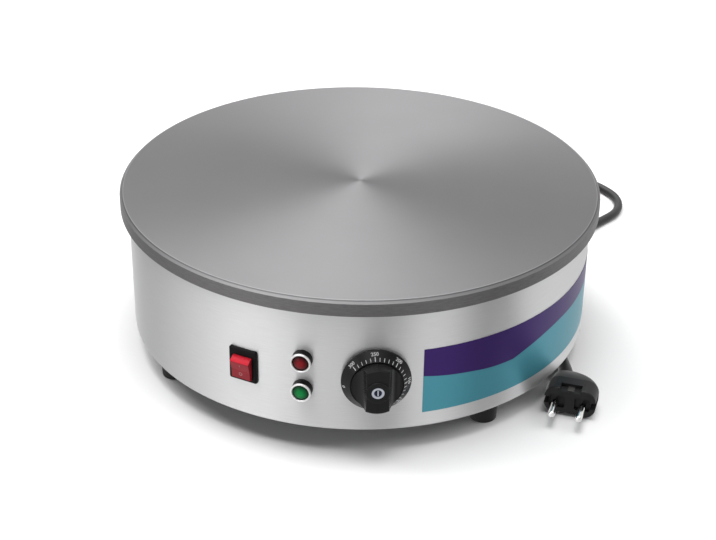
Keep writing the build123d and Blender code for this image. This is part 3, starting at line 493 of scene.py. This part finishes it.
def mouldedPlastic(name, color, roughness, grainScale, relief, shine):
    material, tree, shader = newMaterial(name, color, roughness)
    grain = noiseOn(tree, objectPoint(tree), grainScale, *plasticWear["grainNoise"])
    cloud = noiseOn(tree, objectPoint(tree), *plasticWear["cloudNoise"])
    wearIn(tree, shader, color, roughness, cloud, plasticWear)
    feed(tree, shader, Specular_IOR_Level=shine)
    addBump(tree, shader, grain, relief)
    return material


finishes = {
    "castPlate": castPlate(platePaint),
    "brushedDrum": brushedDrum(brushedSheet),
    "printedFilm": printedFilm(film),
    "redRocker": redRocker(rockerPlastic),
}
for makeFinish, kinds in ((lampLens, lenses), (plainMetal, metals), (mouldedPlastic, plastics)):
    for name, settings in kinds.items():
        finishes[name] = makeFinish(name, *settings)

wornBy = {
    "castPlate": ["griddle_plate"],
    "brushedDrum": ["drum_shell"],
    "printedFilm": ["side_decal"],
    "redRocker": ["switch_rocker"],
    "redLens": ["red_lamp_lens"],
    "greenLens": ["green_lamp_lens"],
    "chromeRing": ["red_lamp_ring", "green_lamp_ring"],
    "knobPlastic": ["thermostat_knob"],
    "insertMetal": ["knob_insert"],
    "plugPlastic": ["plug_body"],
    "nickelPin": ["plug_pins"],
    "stripSteel": ["plug_earth_strips"],
    "cordRubber": ["cord_boot", "cord_supply_lead", "cord_coil", "cord_plug_lead"],
    "blackPlastic": ["switch_housing", "red_lamp_body", "green_lamp_body", "red_lamp_nut",
                     "green_lamp_nut", "gland_body", "gland_cap", "gland_locknut", "cord_tie"],
    "footRubber": ["foot_front_left", "foot_front_right", "foot_rear_left", "foot_rear_right"],
    "baseSteel": ["base_plate"],
    "zincSteel": ["element_clamp", "heat_shield", "tie_rods", "tie_rod_nuts", "foot_screws",
                  "foot_nuts", "thermostat_screws", "earth_stud", "thermostat_shaft"],
    "elementSteel": ["heating_element"],
    "mineralWool": ["insulation_disc"],
    "brass": ["element_tabs", "switch_terminals", "thermostat_tabs"],
    "ceramic": ["thermostat_body", "terminal_block"],
    "sensorCopper": ["thermostat_sensor"],
}
finishOf = {piece: finish for finish, pieces in wornBy.items() for piece in pieces}

for name, node in nodes.items():
    node.data.materials.clear()
    node.data.materials.append(finishes[finishOf[name]])
print("finishes on", len(nodes), "nodes")

# supply cord, in millimetres

cordShape = {
    "diameter": 7.0,
    "length": 1.27,  # metres
    "exit": (0, 217, 39.4),
    "supply": [(0, 217, 39.4), (0, 245, 39.4), (4.4, 270.5, 26.2), (16.6, 291.5, 10.5),
               (38.5, 303.2, 4.6)],
    "coilCentre": (65.6, 262.5),
    "coilStart": 90.0,  # degrees
    "turns": [(42.0, 4.4), (35.0, 4.4), (38.5, 10.46)],  # radius and height
    "pointsPerTurn": 14,
    "easeFrom": 0.7,  # the share of a turn after which it goes over to the next
    "plugLead": [
        (87.5, 301, 13.1), (113.8, 295.8, 6.1), (136.5, 285.3, 3.6), (158.4, 273.9, 3.6),
        (177.6, 253.8, 3.6), (179.4, 226.6, 3.6), (162.8, 202.1, 3.6), (148.8, 174.1, 3.6),
        (141.2, 141.8, 3.6), (139.1, 105.9, 3.6), (140.9, 70.0, 3.6), (144.6, 32.0, 3.6),
        (151.0, 2.5, 3.9), (158.5, -22.5, 6.6),
    ],
    "stepsAlong": 6,
    "stepsRound": 6,
}


def cordPoints(shape):
    # clockwise from above, each turn easing into the next
    points = list(shape["supply"])
    count = shape["pointsPerTurn"]
    turns = shape["turns"] + shape["turns"][-1:] * 2
    cx, cy = shape["coilCentre"]
    for step in range(len(shape["turns"]) * count + 1):
        turn, within = divmod(step, count)
        ease = max(0.0, (within / count - shape["easeFrom"]) / (1 - shape["easeFrom"]))
        ease = ease * ease * (3 - 2 * ease)
        radius, level = (here + (after - here) * ease
                         for here, after in zip(turns[turn], turns[turn + 1]))
        angle = math.radians(shape["coilStart"]) - 2 * math.pi * step / count
        points.append((cx + radius * math.cos(angle), cy + radius * math.sin(angle), level))
    return points + shape["plugLead"]


def addCord(shape):
    data = bpy.data.curves.new("cord", "CURVE")
    data.dimensions = "3D"
    points = cordPoints(shape)
    spline = data.splines.new("NURBS")
    spline.points.add(len(points) - 1)
    for point, place in zip(spline.points, points):
        point.co = (place[0] * mm, place[1] * mm, place[2] * mm, 1)
    spline.order_u = 3
    spline.use_endpoint_u = True
    data.resolution_u = shape["stepsAlong"]
    data.bevel_depth = shape["diameter"] / 2 * mm
    data.bevel_resolution = shape["stepsRound"]
    data.use_fill_caps = True
    data.materials.append(finishes["cordRubber"])
    cord = putInScene("supplyCord", data)
    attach(cord, "base")
    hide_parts("cord_supply_lead", "cord_coil", "cord_plug_lead")


addCord(cordShape)
print("cord laid")

# flat and thin pieces for what is printed or inlaid, in millimetres


def addPrinted(name, place, vertices, faces, finish, body):
    mesh = bpy.data.meshes.new(name)
    mesh.from_pydata(vertices, [], faces)
    mesh.materials.append(finishes[finish])
    printed = putInScene(name, mesh)
    printed.matrix_world = place
    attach(printed, body)


def circle(radius, z, count):
    angles = [2 * math.pi * step / count for step in range(count)]
    return [Vector((radius * math.cos(a), radius * math.sin(a), z)) * mm for a in angles]


def rectangle(width, height, z):
    return [Vector((sx * width / 2, sy * height / 2, z)) * mm
            for sx, sy in ((-1, -1), (1, -1), (1, 1), (-1, 1))]


def loopFaces(count):
    # from one loop of points to the next
    return [(i, (i + 1) % count, count + (i + 1) % count, count + i) for i in range(count)]


# print on the knob's skirt

dial = {
    "coneInner": (17.9, 9.0),  # radius and how far out of the drum
    "coneOuter": (23.5, 3.0),
    "lift": 0.04,
    "first": -50.0,  # degrees clockwise from the top
    "step": 9.2,
    "ticks": 26,
    "every": 5,  # from one number to the next
    "tickStart": 18.35,
    "tickLength": (1.7, 2.2),  # without and with a number
    "tickWidth": (0.42, 0.55),
    "numbers": ["300", "250", "200", "150", "100", "50"],
    "offAngle": 262.0,
    "numberRadius": 21.75,
    "numberSize": 3.4,
    "numberWeight": 0.07,
    "curveSteps": 3,
}


def skirtSlope():
    # how far the skirt reaches outwards from the knob's axis, and back towards the drum
    return (outer - inner for inner, outer in zip(dial["coneInner"], dial["coneOuter"]))


def onCone(radius, angle):
    # a point on the skirt's print surface
    run, drop = skirtSlope()
    innerRadius, innerHeight = dial["coneInner"]
    z = innerHeight + drop / run * (radius - innerRadius) + dial["lift"]
    a = math.radians(angle)
    return Vector((radius * math.sin(a), radius * math.cos(a), z)) * mm


def numberShape(text):
    # its flat outline in the built-in font
    data = bpy.data.curves.new("letters", "FONT")
    data.body = text
    data.size = dial["numberSize"]
    data.offset = dial["numberWeight"]
    data.align_x, data.align_y = "CENTER", "CENTER"
    data.resolution_u = dial["curveSteps"]
    holder = putInScene("letters", data)
    bpy.context.view_layer.update()
    evaluated = holder.evaluated_get(bpy.context.evaluated_depsgraph_get())
    mesh = evaluated.to_mesh()
    shape = ([tuple(v.co) for v in mesh.vertices], [tuple(p.vertices) for p in mesh.polygons])
    evaluated.to_mesh_clear()
    bpy.data.objects.remove(holder)
    bpy.data.curves.remove(data)
    return shape


def addTicks():
    vertices, faces = [], []
    for tick in range(dial["ticks"]):
        angle = dial["first"] + tick * dial["step"]
        numbered = tick % dial["every"] == 0
        start = dial["tickStart"]
        base = len(vertices)
        for radius in (start, start + dial["tickLength"][numbered]):
            half = math.degrees(dial["tickWidth"][numbered] / 2 / radius)
            vertices += [onCone(radius, angle - half), onCone(radius, angle + half)]
        faces.append((base, base + 1, base + 3, base + 2))
    addPrinted("dialTicks", panelMatrix(*places["knob"]), vertices, faces, "whiteInk", "knob")


def addNumbers():
    run, drop = skirtSlope()
    flatten = run / math.hypot(run, drop)
    labels = [(text, dial["first"] + dial["every"] * dial["step"] * index)
              for index, text in enumerate(dial["numbers"])]
    labels.append(("0", dial["offAngle"]))
    vertices, faces = [], []
    for text, angle in labels:
        shape, cuts = numberShape(text)
        base = len(vertices)
        for x, y, _ in shape:
            radius = dial["numberRadius"] + y * flatten
            vertices.append(onCone(radius, angle + math.degrees(x / dial["numberRadius"])))
        faces += [tuple(base + index for index in cut) for cut in cuts]
    addPrinted("dialNumbers", panelMatrix(*places["knob"]), vertices, faces, "greyInk", "knob")


# mark in the knob's insert

insert = {
    "floor": 18.1,
    "fieldRadius": 2.62,
    "fieldLift": 0.03,
    "fieldPoints": 48,
    "bar": (0.8, 4.2),
    "barFront": 18.5,
}


def addInsertMark():
    place = panelMatrix(*places["knob"])
    count = insert["fieldPoints"]
    field = circle(insert["fieldRadius"], insert["floor"] + insert["fieldLift"], count)
    addPrinted("insertField", place, field, [tuple(range(count))], "darkField", "knob")
    back, front = (rectangle(*insert["bar"], insert[side]) for side in ("floor", "barFront"))
    addPrinted("insertBar", place, back + front, [(3, 2, 1, 0), (4, 5, 6, 7)] + loopFaces(4),
               "insertMetal", "knob")


addTicks()
addNumbers()
addInsertMark()
print("dial printed")

# marks on the rocker

rocker = {
    "rest": 10.0,
    "valley": 5.0,
    "reach": 8.8,
    "corner": 40.0,
    "lift": 0.03,
    "offMark": {"along": 0.44, "outer": 1.35, "inner": 0.8, "points": 36},
    "onMark": {"along": 0.60, "size": (0.4, 1.9)},
}


def rockerFace(upper, along):
    # frame on one half of the rocker, from the valley towards the end
    def spot(radius, angle):
        a = math.radians(angle)
        return Vector((0, radius * math.cos(a), radius * math.sin(a)))

    across = Vector((1, 0, 0))
    corner = rocker["corner"] if upper else 180 - rocker["corner"]
    valley = spot(rocker["valley"], 90 + rocker["rest"])
    end = spot(rocker["reach"], rocker["rest"] + corner)
    run = (end - valley).normalized() * (1 if upper else -1)
    out = across.cross(run).normalized()
    face = Matrix((across, run, out)).transposed().to_4x4()
    face.translation = (valley + (end - valley) * along + out * rocker["lift"]) * mm
    return panelMatrix(*places["rocker"]) @ face


def addRockerMarks():
    off, on = rocker["offMark"], rocker["onMark"]
    ring = circle(off["outer"], 0.0, off["points"]) + circle(off["inner"], 0.0, off["points"])
    addPrinted("offMark", rockerFace(False, off["along"]), ring, loopFaces(off["points"]),
               "paleInk", "rocker")
    addPrinted("onMark", rockerFace(True, on["along"]), rectangle(*on["size"], 0.0),
               [(0, 1, 2, 3)], "paleInk", "rocker")


addRockerMarks()
print("rocker marked")

# floor

paleFloor = {"color": (0.95, 0.95, 0.95), "roughness": 0.9, "halfSide": 6.0}


def addFloor(settings):
    material, tree, shader = newMaterial("paleFloor", settings["color"], settings["roughness"])
    feed(tree, shader, Specular_IOR_Level=0.0)
    side = settings["halfSide"]
    mesh = bpy.data.meshes.new("floor")
    mesh.from_pydata([(-side, -side, 0), (side, -side, 0), (side, side, 0), (-side, side, 0)], [],
                     [(0, 1, 2, 3)])
    mesh.materials.append(material)
    floor = putInScene("floor", mesh)
    floor.visible_glossy = False


# levels of the white tent round the table, by azimuth from the front: the brushed drum
# mirrors its walls and the darker gaps between them

tent = {
    "levels": {-180: 0.88, -150: 1.1, -116: 0.6, -84: 0.84, -42: 1.08, -8: 0.86, 12: 0.84,
               29: 0.5, 46: 1.1, 64: 0.9, 81: 0.34, 98: 0.98, 120: 1.06, 150: 0.9, 180: 0.88},
    # its middle by azimuth and elevation, and how far from there it starts and ends to fade
    "roof": {"middle": (-112, 77), "fade": (44, 14), "level": 6.2},
    "fill": 0.17,
}


def addTent(tent):
    world = bpy.data.worlds.new("tent")
    bpy.context.scene.world = world
    world.use_nodes = True
    tree = world.node_tree
    toward = addNode(tree, "ShaderNodeTexCoord").outputs["Generated"]
    azimuth, _ = roundUpright(tree, toward)
    walls = addNode(tree, "ShaderNodeFloatCurve",
                    Value=mapTo(tree, azimuth, 0.0, 1.0, -math.pi, math.pi))
    fillCurve(walls, {(angle + 180) / 360: level for angle, level in tent["levels"].items()})
    # the roof is brighter round its middle
    near = vectorMathOn(tree, "DOT_PRODUCT", toward, fromFront(*tent["roof"]["middle"]))
    far, close = (math.cos(math.radians(angle)) for angle in tent["roof"]["fade"])
    roof = mapTo(tree, near, 0.0, tent["roof"]["level"], far, close)
    lined = mathOn(tree, "ADD", walls.outputs[0], roof)
    rays = addNode(tree, "ShaderNodeLightPath").outputs
    # what metal throws on to the table is fill as well, not tent
    direct = mathOn(tree, "SUBTRACT", rays["Is Glossy Ray"], rays["Diffuse Depth"], clamp=True)
    level = addNode(tree, "ShaderNodeMix", {"data_type": "FLOAT"}, Factor=direct, A=tent["fill"],
                    B=lined)
    plain = mathOn(tree, "MAXIMUM", rays["Is Camera Ray"], rays["Is Transmission Ray"])
    white = mathOn(tree, "MAXIMUM", level.outputs["Result"], plain)
    feed(tree, tree.nodes["Background"], Color=(1, 1, 1, 1), Strength=white)


# each lamp: azimuth from the front, elevation, angular width, how bright it makes a white
# surface that faces it, and whether shiny surfaces mirror it or only the tent

lamps = {
    "overheadLamp": {"azimuth": 0, "elevation": 90, "width": 34, "level": 0.56, "mirrored": False},
    "leftLamp": {"azimuth": -110, "elevation": 53, "width": 40, "level": 0.62, "mirrored": False},
    "rightLamp": {"azimuth": 98, "elevation": 50, "width": 44, "level": 0.36, "mirrored": False},
    "frontLamp": {"azimuth": -36, "elevation": 14, "width": 40, "level": 0.14, "mirrored": True},
}
lampDistance = 2  # metres


def addLamp(name, lamp):
    data = bpy.data.lights.new(name, "SUN")
    data.energy = lamp["level"] * math.pi
    data.angle = math.radians(lamp["width"])
    light = putInScene(name, data)
    light.visible_glossy = lamp["mirrored"]
    toward = fromFront(lamp["azimuth"], lamp["elevation"])
    light.location = toward * lampDistance
    light.rotation_euler = toward.to_track_quat("Z", "Y").to_euler()


addFloor(paleFloor)
addTent(tent)
for name, lamp in lamps.items():
    addLamp(name, lamp)
bpy.context.scene.view_settings.view_transform = "Standard"
print("stage ready")
